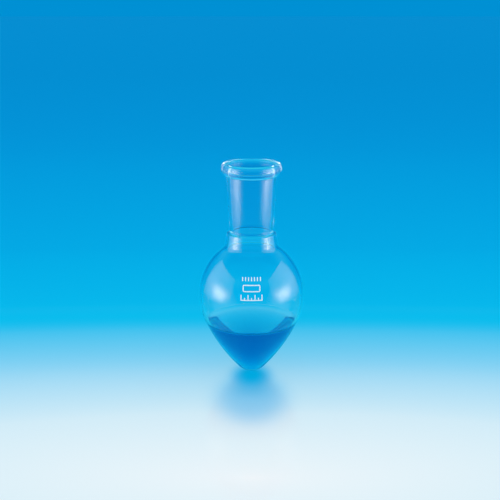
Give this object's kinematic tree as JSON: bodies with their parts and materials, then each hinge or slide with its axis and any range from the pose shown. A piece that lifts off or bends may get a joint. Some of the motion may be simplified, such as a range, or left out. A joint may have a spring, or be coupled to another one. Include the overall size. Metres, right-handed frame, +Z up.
{
  "type": "pear-shaped flask",
  "caption": "Clear glass pear-shaped flask with one tapered ground socket, a beaded rim, white enamel marks and a blue solution in its foot.",
  "frame": {"origin": "centre of the mouth, in the plane of the rim's flat face", "axes": "+Z up along the flask's axis, out of the mouth; -Y is the front, where the enamel marks are"},
  "size_m": [0.0684, 0.0684, 0.1392],
  "materials": {
    "flask_glass": "clear blown borosilicate glass, fire-polished",
    "blue_solution": "clear blue water-like solution",
    "white_enamel": "fired white enamel, satin"
  },
  "bodies": {
    "root": {"flask": "flask_glass", "solution": "blue_solution", "enamel_marks": "white_enamel"}
  },
  "joints": []
}
